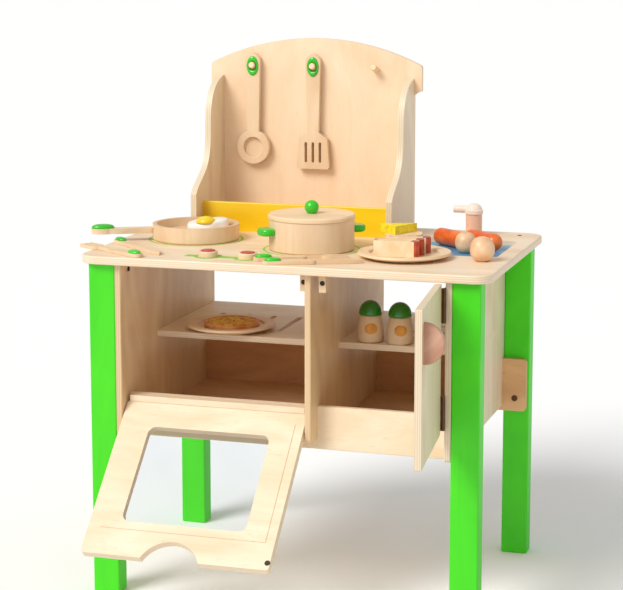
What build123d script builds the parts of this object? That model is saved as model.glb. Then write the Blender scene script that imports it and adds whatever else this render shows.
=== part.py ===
from build123d import *
from math import atan2, cos, radians, sin, sqrt, tan
import os

os.makedirs("parts", exist_ok=True)

# ---------------------------------------------------------------- sizes (mm)
# A wooden toy kitchen. Origin: floor, under the middle of the worktop.
# +X to the right, +Y to the back, +Z up; the doors and knobs face -Y.
height = 500.0  # floor to the top of the worktop
top_width = 600.0
top_depth = 402.0
top_thick = 12.0
top_corner = 28.0
top_round = 2.5  # softened edge of the worktop
ply = 9.0  # every plywood board
arris = 1.0  # softened edges of the boards

leg_width = 40.0
leg_depth = 30.0
leg_round = 2.5
leg_front_inset = 11.0  # worktop front edge to leg face
leg_rear_inset = 4.0

cabinet_width = 492.0  # over both side panels
panel_bottom = 236.0
floor_top = 247.0  # bottom shelf, upper face
shelf_top = 366.0  # middle shelf, upper face
shelf_setback = 138.0  # middle shelf front edge behind the panel fronts
divider_x = 42.0
tenon_length = 120.0
apron_setback = 32.0
apron_bottom = 233.0
apron_top = 295.0
rail_bottom = 229.0
rail_top = 310.0
rail_end_gap = 3.0  # rear rail end to the leg's outer face
slot_width = 8.0
slot_length = 112.0

back_width = 343.0  # splashback over its ears
back_x = -63.5
back_inset = 6.0  # worktop rear edge to the splashback
ear = 12.0
ear_low_up = 211.0  # these three are above the worktop
ear_high_up = 252.5
arch_up = 293.0
bracket_depth = 130.0
bracket_foot = 58.0
spice_rail_high = 45.0
spice_rail_back = 94.0  # splashback face to the rail's rear face

peg_r = 5.0
peg_out = 19.0
peg_sunk = 6.0
peg_tilt = 15.0
peg_up = 246.0  # above the worktop
peg_pitch = 99.0
peg_hole_r = 6.5
utensil_thick = 9.0
utensil_back = 3.0  # gap to the splashback
utensil_touch = 0.25

sink_x = 200.0
sink_y = 34.5
sink_width = 152.0
sink_length = 157.0
sink_depth = 9.0
sink_corner = 12.0
basin_thick = 2.0
basin_gap = 0.3

pin_r = 3.0
pin_gap = 0.06  # radial running clearance
oven_gap_x = 1.5
oven_low = 240.6
oven_thick = 12.0
oven_top_gap = 2.0
oven_pivot_up = 24.3  # pivot above the door's lower edge
oven_pivot_back = 5.2  # pivot behind the panel fronts
oven_open = 134.4
oven_side = 45.0  # frame widths round the window
oven_sill = 40.0
oven_head = 53.0
window_corner = 12.0
window_thick = 2.0
window_lap = 6.0
notch_r = 45.5
notch_depth = 28.0
notch_x = -6.0  # notch centre from the door's centre

cup_gap = 1.5
cup_low = 277.0
cup_top_gap = 2.0
cup_open = 96.0
hinge_r = 2.6
hinge_pin_r = 1.2
hinge_pin_forward = 3.6  # hinge axis in front of the panel fronts
hinge_tall = 48.0
hinge_leaf = 1.2
hinge_wide = 8.0
hinge_low = 6.0  # lower hinge above the door's lower edge
knuckle_gap = 0.4
grip_r = 27.0
grip_thick = 12.0
grip_edge = 14.0
grip_down = 47.0

catch_wide = 10.0
catch_deep = 16.0
catch_tall = 26.0
catch_gap = 0.6
magnet_r = 3.6
magnet_long = 4.0
strike_r = 4.0
strike_thick = 1.0

knob_r = 14.0
knob_high = 8.0
knob_float = 0.3
knob_stem_r = 4.0
knob_places = {"left": (-117.0, -154.0), "right": (-57.0, -155.0)}

faucet_x = 200.0
faucet_back = 50.0  # faucet axis to the worktop's rear edge
faucet_r = 12.4
faucet_high = 33.0
faucet_cap_r = 13.8
faucet_cap_high = 16.0
spout_r = 5.75
spout_reach = 31.0
swivel_r = 4.0

pot_x, pot_y = 4.0, -48.0
pot_r = 62.0
pot_high = 45.0
pot_wall = 7.0
lid_r = 63.4
lid_thick = 7.0
lid_plug = 3.0
ball_r = 10.5
lug_turn = 36.0  # pot handles turned from the X axis
pan_x = -191.0
pan_clear = 62.0  # pan centre in front of the splashback's brackets
pan_r = 65.0
pan_high = 24.0
pan_wall = 6.0
pan_floor = 11.0
pan_handle_end = 156.0
pan_handle_turn = 205.4
pan_handle_wide = 18.0
pan_handle_thick = 8.0
egg_thick = 13.0
yolk_r = 15.0

plate_r = 67.0
plate_high = 9.5
plate_well_r = 50.0
plate_well = 4.5
plate_x, plate_y = 152.0, -83.0
pizza_x, pizza_y = -135.0, -9.0
pizza_r = 42.0
pizza_thick = 8.0
item_gap = 0.3  # loose things to what they lie on

shaker_places = {"left": (88.5, -31.0), "right": (133.5, -34.0)}
shaker_r = 19.2
shaker_high = 60.0

cutlery_thick = 5.0
cutlery_long = 142.0
cutlery_wide = 16.0

# ---------------------------------------------------------------- places
under = height - top_thick
front = -top_depth / 2 + leg_front_inset
rear = top_depth / 2 - leg_rear_inset
panel_out = cabinet_width / 2
panel_in = panel_out - ply
leg_out = panel_out + leg_width
rail_front = rear - leg_depth - ply
apron_front = front + apron_setback
floor_low = floor_top - ply
shelf_low = shelf_top - ply
shelf_front = front + shelf_setback
lap_y = (shelf_front + rear) / 2
div_l = divider_x - ply / 2
div_r = divider_x + ply / 2
back_face = top_depth / 2 - back_inset - ply
ear_low = height + ear_low_up
ear_high = height + ear_high_up
arch_high = height + arch_up
peg_z = height + peg_up
body_half = back_width / 2 - ear
peg_xs = {"left": back_x - peg_pitch, "middle": back_x, "right": back_x + peg_pitch}
tenon_y = (shelf_front + rear) / 2 + 12.0
foot_y = back_face - bracket_depth
pan_y = foot_y - pan_clear

oven_x0 = -panel_in + oven_gap_x
oven_x1 = div_l - oven_gap_x
oven_cx = (oven_x0 + oven_x1) / 2
oven_tall = under - oven_top_gap - oven_low
pivot_y = front + oven_pivot_back
pivot_z = oven_low + oven_pivot_up
oven_front = pivot_y - oven_thick / 2
cup_x0 = div_r + cup_gap
cup_x1 = panel_in - cup_gap
cup_high = under - cup_top_gap
hinge_x = panel_in - cup_gap / 2
hinge_y = front - hinge_pin_forward


def save(piece, node):
    piece.part.label = node
    export_step(piece.part, f"parts/{node}.step")


def upright(x, y, z=0.0):
    """Vertical plane facing the front: local x is +X, local y is +Z."""
    return Plane(origin=(x, y, z), x_dir=(1, 0, 0), z_dir=(0, -1, 0))


def side_on(x, y=0.0, z=0.0):
    """Vertical plane facing +X: local x is +Y, local y is +Z."""
    return Plane(origin=(x, y, z), x_dir=(0, 1, 0), z_dir=(1, 0, 0))


def lying(x, y, z, turn):
    """Level plane with its local x turned about +Z."""
    a = radians(turn)
    return Plane(origin=(x, y, z), x_dir=(cos(a), sin(a), 0), z_dir=(0, 0, 1))


def span(a, b):
    return (a + b) / 2


# ---------------------------------------------------------------- worktop
with BuildPart() as worktop:
    with BuildSketch(Plane.XY.offset(under)):
        RectangleRounded(top_width, top_depth, top_corner)
    extrude(amount=top_thick)
    fillet(worktop.edges().filter_by(Axis.Z, reverse=True), top_round)
    with BuildSketch(Plane.XY.offset(height)):
        with Locations((sink_x, sink_y)):
            RectangleRounded(sink_width, sink_length, sink_corner)
    extrude(amount=-sink_depth, mode=Mode.SUBTRACT)
    with BuildSketch(Plane.XY.offset(height)):
        with Locations(*knob_places.values()):
            Circle(knob_stem_r + pin_gap)
    extrude(amount=-top_thick, mode=Mode.SUBTRACT)
save(worktop, "worktop")

with BuildPart() as sink_basin:
    with BuildSketch(Plane.XY.offset(height - sink_depth)):
        with Locations((sink_x, sink_y)):
            RectangleRounded(sink_width - 2 * basin_gap, sink_length - 2 * basin_gap, sink_corner - basin_gap)
    extrude(amount=basin_thick)
save(sink_basin, "sink_basin")

# ---------------------------------------------------------------- legs
leg_ys = {"front": (front, front + leg_depth), "rear": (rear - leg_depth, rear)}
bolt_r = 2.6
bolt_gap = 0.1
bolt_long = 22.0
rail_bolt_z = 249.0
rail_bolt_x = panel_out + 19.5
for side, sign in (("left", -1), ("right", 1)):
    for end, (y0, y1) in leg_ys.items():
        with BuildPart() as leg:
            with BuildSketch(Plane.XY):
                with Locations((sign * span(panel_out, leg_out), span(y0, y1))):
                    Rectangle(leg_width, leg_depth)
            extrude(amount=under)
            fillet(leg.edges().filter_by(Axis.Z), leg_round)
            chamfer(leg.faces().sort_by(Axis.Z)[0].edges(), 1.5)
            if end == "rear":
                with BuildSketch(Plane.XZ.offset(-y0)):
                    with Locations((sign * rail_bolt_x, rail_bolt_z)):
                        Circle(bolt_r + bolt_gap)
                extrude(amount=-(bolt_long - ply), mode=Mode.SUBTRACT)
        save(leg, f"{end}_{side}_leg")

# ---------------------------------------------------------------- cabinet
for side, sign in (("left", -1), ("right", 1)):
    with BuildPart() as side_panel:
        with BuildSketch(side_on(sign * span(panel_out, panel_in))):
            with Locations((span(front, rear), span(panel_bottom, under))):
                Rectangle(rear - front, under - panel_bottom)
        extrude(amount=ply / 2, both=True)
        fillet(side_panel.edges().filter_by(Axis.X).group_by(Axis.Z)[0], 8)
        chamfer(side_panel.faces().sort_by(Axis.Y)[0].edges().filter_by(Axis.Z), arris)
        # slot for the rear rail, open downwards
        with BuildSketch(side_on(sign * span(panel_out, panel_in))):
            with Locations((rail_front + ply / 2, (panel_bottom + rail_top) / 2)):
                Rectangle(ply, rail_top - panel_bottom)
            with Locations((tenon_y, span(shelf_low, shelf_top))):
                Rectangle(tenon_length, ply)
        extrude(amount=ply, both=True, mode=Mode.SUBTRACT)
        if sign < 0:
            with BuildSketch(side_on(-panel_in)):
                with Locations((pivot_y, pivot_z)):
                    Circle(pin_r)
            extrude(amount=-ply / 2, mode=Mode.SUBTRACT)
    save(side_panel, f"{side}_side_panel")

with BuildPart() as divider:
    with BuildSketch(side_on(divider_x)):
        with Locations((span(front, rear), span(floor_top, under))):
            Rectangle(rear - front, under - floor_top)
    extrude(amount=ply / 2, both=True)
    fillet(divider.edges().filter_by(Axis.X).group_by(Axis.Z)[0].sort_by(Axis.Y)[0], 8)
    chamfer(divider.faces().sort_by(Axis.Y)[0].edges().filter_by(Axis.Z), arris)
    with BuildSketch(side_on(divider_x)):
        with Locations((apron_front + ply / 2, span(floor_top, apron_top))):
            Rectangle(ply, apron_top - floor_top)
        with Locations((rail_front + ply / 2, span(floor_top, rail_top))):
            Rectangle(ply, rail_top - floor_top)
        with Locations((span(lap_y, rear), span(shelf_low, shelf_top))):
            Rectangle(rear - lap_y, ply)
    extrude(amount=ply, both=True, mode=Mode.SUBTRACT)
    with BuildSketch(side_on(div_l)):
        with Locations((pivot_y, pivot_z)):
            Circle(pin_r)
    extrude(amount=ply / 2, mode=Mode.SUBTRACT)
save(divider, "centre_divider")

oven_slots = [(-187 + 42 * i, shelf_front + 102) for i in range(5)]
rack_slots = [(166, shelf_front + 60 + 46 * i) for i in range(4)]
with BuildPart() as mid_shelf:
    with BuildSketch(Plane.XY.offset(shelf_low)):
        with Locations((0, span(shelf_front, rear))):
            Rectangle(2 * panel_in, rear - shelf_front)
        with Locations((0, tenon_y)):
            Rectangle(2 * panel_out, tenon_length)
        with Locations((divider_x, span(shelf_front, lap_y))):
            Rectangle(ply, lap_y - shelf_front, mode=Mode.SUBTRACT)
        with Locations(*oven_slots):
            SlotOverall(slot_length, slot_width, rotation=90, mode=Mode.SUBTRACT)
        with Locations(*rack_slots):
            SlotOverall(86, slot_width, mode=Mode.SUBTRACT)
    extrude(amount=ply)
    chamfer(mid_shelf.faces().sort_by(Axis.Y)[0].edges().filter_by(Axis.X), arris)
save(mid_shelf, "mid_shelf")

with BuildPart() as bottom_shelf:
    with BuildSketch(Plane.XY.offset(floor_low)):
        with Locations((0, span(apron_front + ply, rail_front))):
            Rectangle(2 * panel_in, rail_front - apron_front - ply)
    extrude(amount=ply)
save(bottom_shelf, "bottom_shelf")

with BuildPart() as front_rail:
    with BuildSketch(Plane.XZ.offset(-apron_front)):
        with Locations((0, span(apron_bottom, apron_top))):
            Rectangle(2 * panel_in, apron_top - apron_bottom)
    extrude(amount=-ply)
    chamfer(front_rail.faces().sort_by(Axis.Y)[0].edges().filter_by(Axis.X), arris)
save(front_rail, "front_rail")

with BuildPart() as rear_rail:
    with BuildSketch(Plane.XZ.offset(-rail_front)):
        with Locations((0, span(rail_bottom, rail_top))):
            Rectangle(2 * (leg_out - rail_end_gap), rail_top - rail_bottom)
    extrude(amount=-ply)
    fillet(rear_rail.edges().filter_by(Axis.Y), 6)
    with BuildSketch(Plane.XZ.offset(-rail_front)):
        with Locations((-rail_bolt_x, rail_bolt_z), (rail_bolt_x, rail_bolt_z)):
            Circle(bolt_r + bolt_gap)
    extrude(amount=-ply, mode=Mode.SUBTRACT)
save(rear_rail, "rear_rail")

with BuildPart() as rail_bolts:
    with BuildSketch(Plane.XZ.offset(-rail_front)):
        with Locations((-rail_bolt_x, rail_bolt_z), (rail_bolt_x, rail_bolt_z)):
            Circle(4.6)
    extrude(amount=2.4)
    fillet(rail_bolts.faces().group_by(Axis.Y)[0].edges(), 1.6)
    with BuildSketch(Plane.XZ.offset(-rail_front + 1)):
        with Locations((-rail_bolt_x, rail_bolt_z), (rail_bolt_x, rail_bolt_z)):
            RegularPolygon(2.0, 6)
    extrude(amount=2, mode=Mode.SUBTRACT)
    with BuildSketch(Plane.XZ.offset(-rail_front)):
        with Locations((-rail_bolt_x, rail_bolt_z), (rail_bolt_x, rail_bolt_z)):
            Circle(bolt_r)
    extrude(amount=-bolt_long)
save(rail_bolts, "rail_bolts")

# batten that the open oven door comes to rest under
corner_reach = sqrt(oven_pivot_up**2 + (oven_thick / 2) ** 2)
corner_turn = radians(oven_open) - radians(90) + atan2(oven_thick / 2, oven_pivot_up)
stop_low = pivot_z + corner_reach * sin(corner_turn) + 0.12
with BuildPart() as door_stop:
    with BuildSketch(Plane.XY.offset(stop_low)):
        with Locations((oven_cx, apron_front - 7.5)):
            Rectangle(oven_x1 - oven_x0 - 8, 15)
    extrude(amount=apron_top - stop_low)
save(door_stop, "oven_door_stop")

# ---------------------------------------------------------------- catches
# the last number is the place of the block's front face
catches = {
    "oven": (div_l - catch_wide / 2, oven_front + oven_thick + catch_gap),
    "cupboard": (div_r + 14.0, front + ply + catch_gap),
}
magnet_z = under - 13.0
with BuildPart() as catch_blocks:
    with BuildSketch(Plane.XY.offset(under - catch_tall)):
        with Locations(*[(x, y + catch_deep / 2) for x, y in catches.values()]):
            Rectangle(catch_wide, catch_deep)
    extrude(amount=catch_tall)
    for x, y in catches.values():
        with BuildSketch(Plane.XZ.offset(-y)):
            with Locations((x, magnet_z)):
                Circle(magnet_r)
        extrude(amount=-magnet_long, mode=Mode.SUBTRACT)
save(catch_blocks, "catch_blocks")

with BuildPart() as catch_magnets:
    for x, y in catches.values():
        with BuildSketch(Plane.XZ.offset(-y)):
            with Locations((x, magnet_z)):
                Circle(magnet_r)
        extrude(amount=-magnet_long)
save(catch_magnets, "catch_magnets")

# ---------------------------------------------------------------- splashback
peg_a = radians(peg_tilt)
peg_dir = (0, -cos(peg_a), sin(peg_a))
peg_face = Plane(origin=(0, back_face, peg_z), x_dir=(1, 0, 0), z_dir=peg_dir)
with BuildPart() as splashback:
    with BuildSketch(Plane.XZ.offset(-back_face)):
        with BuildLine():
            Polyline(
                (back_x + back_width / 2, ear_high),
                (back_x + back_width / 2, ear_low + 3),
                (back_x + body_half + 4, ear_low),
                (back_x + body_half, ear_low - 4),
                (back_x + body_half, height),
                (back_x - body_half, height),
                (back_x - body_half, ear_low - 4),
                (back_x - body_half - 4, ear_low),
                (back_x - back_width / 2, ear_low + 3),
                (back_x - back_width / 2, ear_high),
            )
            ThreePointArc(
                (back_x - back_width / 2, ear_high),
                (back_x, arch_high),
                (back_x + back_width / 2, ear_high),
            )
        make_face()
    extrude(amount=-ply)
    fillet(splashback.edges().filter_by(Axis.Y).group_by(Axis.Z)[-1], 6)
    with BuildSketch(peg_face):
        with Locations(*[(x, 0) for x in peg_xs.values()]):
            Circle(peg_r)
    extrude(amount=peg_sunk, both=True, mode=Mode.SUBTRACT)
save(splashback, "splashback")

with BuildPart() as pegs:
    with BuildSketch(peg_face.offset(-peg_sunk)):
        with Locations(*[(x, 0) for x in peg_xs.values()]):
            Circle(peg_r)
    extrude(amount=peg_sunk + peg_out)
    fillet(pegs.faces().filter_by(GeomType.PLANE).group_by(Axis.Y)[0].edges(), 2)
save(pegs, "utensil_pegs")

for side, sign in (("left", -1), ("right", 1)):
    with BuildPart() as bracket:
        with BuildSketch(side_on(back_x + sign * (body_half - ply / 2))):
            with BuildLine():
                Polyline(
                    (back_face, ear_high - 19),
                    (back_face, height),
                    (foot_y, height),
                    (foot_y, height + bracket_foot),
                )
                Spline(
                    (foot_y, height + bracket_foot),
                    (foot_y + 14, height + bracket_foot + 13),
                    (foot_y + 50, height + 97),
                    (foot_y + 64, height + 125),
                    (foot_y + 67, height + 160),
                    (foot_y + 70, height + 186),
                    (foot_y + 84, height + 212),
                    (foot_y + 104, height + 226),
                    (back_face, ear_high - 19),
                )
            make_face()
        extrude(amount=ply / 2, both=True)
    save(bracket, f"{side}_bracket")

with BuildPart() as spice_rail:
    with BuildSketch(Plane.XY.offset(height)):
        with Locations((back_x, back_face - spice_rail_back - ply / 2)):
            Rectangle(2 * (body_half - ply), ply)
    extrude(amount=spice_rail_high)
    fillet(spice_rail.faces().sort_by(Axis.Z)[-1].edges().filter_by(Axis.X), 1.5)
save(spice_rail, "spice_rail")

# ---------------------------------------------------------------- oven door
# made shut, then turned open about its pins
open_up = Axis((0, pivot_y, pivot_z), (1, 0, 0))
window_w = oven_x1 - oven_x0 - 2 * oven_side
window_h = oven_tall - oven_sill - oven_head
window_z = oven_low + oven_sill + window_h / 2
inner = oven_front + oven_thick
with BuildPart() as oven_frame:
    with BuildSketch(Plane.XZ.offset(-oven_front)):
        with Locations((oven_cx, oven_low + oven_tall / 2)):
            RectangleRounded(oven_x1 - oven_x0, oven_tall, 4)
        with Locations((oven_cx + notch_x, oven_low + oven_tall - notch_depth + notch_r)):
            Circle(notch_r, mode=Mode.SUBTRACT)
        with Locations((oven_cx, window_z)):
            RectangleRounded(window_w, window_h, window_corner, mode=Mode.SUBTRACT)
    extrude(amount=-oven_thick)
    with BuildSketch(Plane.XZ.offset(-oven_front)):
        with Locations((oven_cx, window_z)):
            RectangleRounded(window_w + 2 * window_lap, window_h + 2 * window_lap, window_corner + window_lap)
    extrude(amount=-window_thick, mode=Mode.SUBTRACT)
    # fine groove on the inner face
    with BuildSketch(Plane.XZ.offset(-inner)):
        with Locations((oven_x1 - 13, oven_low + 112)):
            Rectangle(1.2, 186)
        with Locations((span(oven_x0 + 19, oven_x1 - 13), oven_low + 205)):
            Rectangle(oven_x1 - oven_x0 - 32, 1.2)
    extrude(amount=1.0, mode=Mode.SUBTRACT)
    with BuildSketch(Plane.XZ.offset(-inner)):
        with Locations((catches["oven"][0], magnet_z)):
            Circle(strike_r)
    extrude(amount=strike_thick, mode=Mode.SUBTRACT)
    with BuildSketch(side_on(oven_x0)):
        with Locations((pivot_y, pivot_z)):
            Circle(pin_r + pin_gap)
    extrude(amount=18, mode=Mode.SUBTRACT)
    with BuildSketch(side_on(oven_x1)):
        with Locations((pivot_y, pivot_z)):
            Circle(pin_r + pin_gap)
    extrude(amount=-18, mode=Mode.SUBTRACT)
oven_frame.part = oven_frame.part.rotate(open_up, oven_open)
save(oven_frame, "oven_door_frame")

with BuildPart() as oven_window:
    with BuildSketch(Plane.XZ.offset(-oven_front)):
        with Locations((oven_cx, window_z)):
            RectangleRounded(window_w + 2 * window_lap, window_h + 2 * window_lap, window_corner + window_lap)
    extrude(amount=-window_thick)
oven_window.part = oven_window.part.rotate(open_up, oven_open)
save(oven_window, "oven_door_window")

with BuildPart() as oven_strike:
    with BuildSketch(Plane.XZ.offset(-inner)):
        with Locations((catches["oven"][0], magnet_z)):
            Circle(strike_r)
    extrude(amount=strike_thick)
oven_strike.part = oven_strike.part.rotate(open_up, oven_open)
save(oven_strike, "oven_door_strike")

with BuildPart() as oven_pins:
    for x0, x1 in ((-panel_in - ply / 2, oven_x0 + 17), (oven_x1 - 17, div_l + ply / 2)):
        with BuildSketch(side_on(x0)):
            with Locations((pivot_y, pivot_z)):
                Circle(pin_r)
        extrude(amount=x1 - x0)
save(oven_pins, "oven_hinge_pins")

# ---------------------------------------------------------------- cupboard door
swing = Axis((hinge_x, hinge_y, 0), (0, 0, 1))
strike_x = catches["cupboard"][0]
hinge_zs = (cup_low + hinge_low, cup_high - hinge_low - hinge_tall)
with BuildPart() as cup_door:
    with BuildSketch(Plane.XZ.offset(-front)):
        with Locations((span(cup_x0, cup_x1), span(cup_low, cup_high))):
            RectangleRounded(cup_x1 - cup_x0, cup_high - cup_low, 2.5)
    extrude(amount=-ply)
    with BuildSketch(Plane.XZ.offset(-front - ply)):
        with Locations((strike_x, magnet_z)):
            Circle(strike_r)
    extrude(amount=strike_thick, mode=Mode.SUBTRACT)
    for z in hinge_zs:
        with BuildSketch(Plane.XY.offset(z)):
            with Locations((cup_x1, front + hinge_wide / 2)):
                Rectangle(2 * hinge_leaf, hinge_wide)
        extrude(amount=hinge_tall, mode=Mode.SUBTRACT)
cup_door.part = cup_door.part.rotate(swing, cup_open)
save(cup_door, "cupboard_door")

with BuildPart() as cup_strike:
    with BuildSketch(Plane.XZ.offset(-front - ply)):
        with Locations((strike_x, magnet_z)):
            Circle(strike_r)
    extrude(amount=strike_thick)
cup_strike.part = cup_strike.part.rotate(swing, cup_open)
save(cup_strike, "cupboard_door_strike")

with BuildPart() as cup_grip:
    with BuildSketch(side_on(cup_x0 + grip_edge)):
        with Locations((front, cup_high - grip_down)):
            Circle(grip_r)
        with Locations((front + grip_r, cup_high - grip_down)):
            Rectangle(2 * grip_r, 3 * grip_r, mode=Mode.SUBTRACT)
    extrude(amount=grip_thick)
    fillet(cup_grip.edges().filter_by(GeomType.CIRCLE), 2)
cup_grip.part = cup_grip.part.rotate(swing, cup_open)
save(cup_grip, "cupboard_door_grip")

# butt hinges: five knuckles, the odd ones on the side panel
knuckle = hinge_tall / 5
with BuildPart() as fixed_leaves:
    for z in hinge_zs:
        with BuildSketch(Plane.XY.offset(z)):
            with Locations((panel_in - hinge_leaf / 2, span(front + hinge_wide, hinge_y))):
                Rectangle(hinge_leaf, front + hinge_wide - hinge_y)
        extrude(amount=hinge_tall)
        for i in (1, 3):
            with BuildSketch(Plane.XY.offset(z + i * knuckle - knuckle_gap)):
                with Locations((hinge_x, hinge_y)):
                    Circle(hinge_r + 0.35)
            extrude(amount=knuckle + 2 * knuckle_gap, mode=Mode.SUBTRACT)
        for i in (0, 2, 4):
            with BuildSketch(Plane.XY.offset(z + i * knuckle)):
                with Locations((hinge_x, hinge_y)):
                    Circle(hinge_r)
            extrude(amount=knuckle)
        with BuildSketch(Plane.XY.offset(z)):
            with Locations((hinge_x, hinge_y)):
                Circle(hinge_pin_r)
        extrude(amount=hinge_tall)
save(fixed_leaves, "hinge_fixed_leaves")

with BuildPart() as door_leaves:
    for z in hinge_zs:
        with BuildSketch(Plane.XY.offset(z)):
            with Locations((cup_x1 - hinge_leaf / 2, span(front + hinge_wide, hinge_y))):
                Rectangle(hinge_leaf, front + hinge_wide - hinge_y)
        extrude(amount=hinge_tall)
        for i in (0, 2, 4):
            with BuildSketch(Plane.XY.offset(z + i * knuckle - knuckle_gap)):
                with Locations((hinge_x, hinge_y)):
                    Circle(hinge_r + 0.35)
            extrude(amount=knuckle + 2 * knuckle_gap, mode=Mode.SUBTRACT)
        for i in (1, 3):
            with BuildSketch(Plane.XY.offset(z + i * knuckle)):
                with Locations((hinge_x, hinge_y)):
                    Circle(hinge_r)
            extrude(amount=knuckle)
        with BuildSketch(Plane.XY.offset(z)):
            with Locations((hinge_x, hinge_y)):
                Circle(hinge_pin_r + pin_gap)
        extrude(amount=hinge_tall, mode=Mode.SUBTRACT)
door_leaves.part = door_leaves.part.rotate(swing, cup_open)
save(door_leaves, "hinge_door_leaves")

# ---------------------------------------------------------------- knobs, faucet
for side, (x, y) in knob_places.items():
    with BuildPart() as knob:
        with BuildSketch(Plane.XY.offset(height + knob_float)):
            with Locations((x, y)):
                Circle(knob_r)
        extrude(amount=knob_high)
        fillet(knob.faces().sort_by(Axis.Z)[-1].edges(), 1.6)
        with BuildSketch(Plane.XY.offset(height + knob_float + knob_high)):
            with Locations((x, y + knob_r * 0.55)):
                Rectangle(1.6, knob_r * 0.5)
        extrude(amount=-0.8, mode=Mode.SUBTRACT)
        with BuildSketch(Plane.XY.offset(height + knob_float)):
            with Locations((x, y)):
                Circle(knob_stem_r)
        extrude(amount=-(top_thick - 2))
    save(knob, f"{side}_knob")

faucet_y = top_depth / 2 - faucet_back
with BuildPart() as faucet_column:
    with BuildSketch(Plane.XY.offset(height)):
        with Locations((faucet_x, faucet_y)):
            Circle(faucet_r)
    extrude(amount=faucet_high)
    fillet(faucet_column.faces().sort_by(Axis.Z)[-1].edges(), 1)
    with BuildSketch(Plane.XY.offset(height + faucet_high)):
        with Locations((faucet_x, faucet_y)):
            Circle(swivel_r + pin_gap)
    extrude(amount=-14, mode=Mode.SUBTRACT)
save(faucet_column, "faucet_column")

cap_z = height + faucet_high + item_gap
with BuildPart() as faucet_head:
    with BuildSketch(upright(faucet_x, faucet_y, cap_z)):
        with BuildLine():
            Polyline((0, 0), (faucet_cap_r, 0), (faucet_cap_r, 5.5), (faucet_cap_r - 1.6, 7))
            Spline((faucet_cap_r - 1.6, 7), (faucet_cap_r * 0.66, 12.6), (0, faucet_cap_high))
            Line((0, faucet_cap_high), (0, 0))
        make_face()
    revolve(axis=Axis((faucet_x, faucet_y, 0), (0, 0, 1)))
    with BuildSketch(side_on(faucet_x)):
        with Locations((faucet_y, cap_z + 6.2)):
            Circle(spout_r)
    extrude(amount=-spout_reach)
    with BuildSketch(side_on(faucet_x - spout_reach)):
        with Locations((faucet_y, cap_z + 6.2)):
            Circle(3)
    extrude(amount=7, mode=Mode.SUBTRACT)
    with BuildSketch(Plane.XY.offset(cap_z)):
        with Locations((faucet_x, faucet_y)):
            Circle(swivel_r)
    extrude(amount=-12)
save(faucet_head, "faucet_head")

# ---------------------------------------------------------------- pot
pot_axis = Axis((pot_x, pot_y, 0), (0, 0, 1))
with BuildPart() as pot:
    with BuildSketch(upright(pot_x, pot_y, height + item_gap)):
        with BuildLine():
            Polyline(
                (0, 0), (pot_r - 2, 0), (pot_r, 2), (pot_r, pot_high), (pot_r - pot_wall, pot_high),
                (pot_r - pot_wall, 7), (0, 7), close=True,
            )
        make_face()
    revolve(axis=pot_axis)
save(pot, "pot")

with BuildPart() as pot_handles:
    with BuildSketch(lying(pot_x, pot_y, height + 23.5, lug_turn)):
        with Locations((-pot_r - 6, 0), (pot_r + 6, 0)):
            Ellipse(14, 17)
        Circle(pot_r, mode=Mode.SUBTRACT)
    extrude(amount=10.5)
    fillet(pot_handles.edges().filter_by(GeomType.ELLIPSE), 4)
save(pot_handles, "pot_handles")

lid_z = height + item_gap + pot_high + item_gap
plug_r = pot_r - pot_wall - 0.5
with BuildPart() as pot_lid:
    with BuildSketch(upright(pot_x, pot_y, lid_z)):
        with BuildLine():
            Polyline(
                (0, -lid_plug),
                (plug_r, -lid_plug),
                (plug_r, 0),
                (lid_r - 1, 0),
                (lid_r, 1), (lid_r, lid_thick - 2), (lid_r - 2, lid_thick), (0, lid_thick), close=True,
            )
        make_face()
    revolve(axis=pot_axis)
save(pot_lid, "pot_lid")

with BuildPart() as lid_ball:
    with BuildSketch(upright(pot_x, pot_y, lid_z + lid_thick)):
        with BuildLine():
            sink_in = ball_r - 1.5
            flat_r = sqrt(ball_r**2 - sink_in**2)
            Line((0, 0), (flat_r, 0))
            ThreePointArc((flat_r, 0), (ball_r, sink_in), (0, sink_in + ball_r))
            Line((0, sink_in + ball_r), (0, 0))
        make_face()
    revolve(axis=pot_axis)
save(lid_ball, "pot_lid_ball")

# ---------------------------------------------------------------- frying pan
pan_axis = Axis((pan_x, pan_y, 0), (0, 0, 1))
with BuildPart() as pan:
    with BuildSketch(upright(pan_x, pan_y, height + item_gap)):
        with BuildLine():
            Polyline(
                (0, 0), (pan_r - 2, 0), (pan_r, 2), (pan_r, pan_high), (pan_r - pan_wall, pan_high),
                (pan_r - pan_wall, pan_floor), (0, pan_floor), close=True,
            )
        make_face()
    revolve(axis=pan_axis)
save(pan, "frying_pan")

handle_z = height + 11.0
with BuildPart() as pan_handle:
    with BuildSketch(lying(pan_x, pan_y, handle_z, pan_handle_turn)):
        with Locations((span(pan_r - 4, pan_handle_end), 0)):
            RectangleRounded(pan_handle_end - pan_r + 4, pan_handle_wide, pan_handle_wide / 2 - 0.5)
        with Locations((pan_handle_end - 16, 0)):
            Ellipse(16, 11.5)
        Circle(pan_r, mode=Mode.SUBTRACT)
    extrude(amount=pan_handle_thick)
save(pan_handle, "frying_pan_handle")

egg_z = height + item_gap + pan_floor + item_gap
egg_x, egg_y = pan_x + 9.0, pan_y + 21.0
with BuildPart() as egg:
    with BuildSketch(Plane.XY.offset(egg_z)):
        with Locations((egg_x, egg_y)):
            Circle(27)
        with Locations((egg_x - 15, egg_y - 3), (egg_x + 15, egg_y + 1)):
            Circle(21)
    extrude(amount=egg_thick)
    fillet(egg.faces().sort_by(Axis.Z)[-1].edges(), 3)
    with BuildSketch(Plane.XY.offset(egg_z)):
        with Locations((egg_x + 4, egg_y - 11)):
            Circle(yolk_r)
    extrude(amount=egg_thick + 5.5)
    fillet(egg.faces().sort_by(Axis.Z)[-1].edges(), 4.5)
save(egg, "fried_egg")

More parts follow.
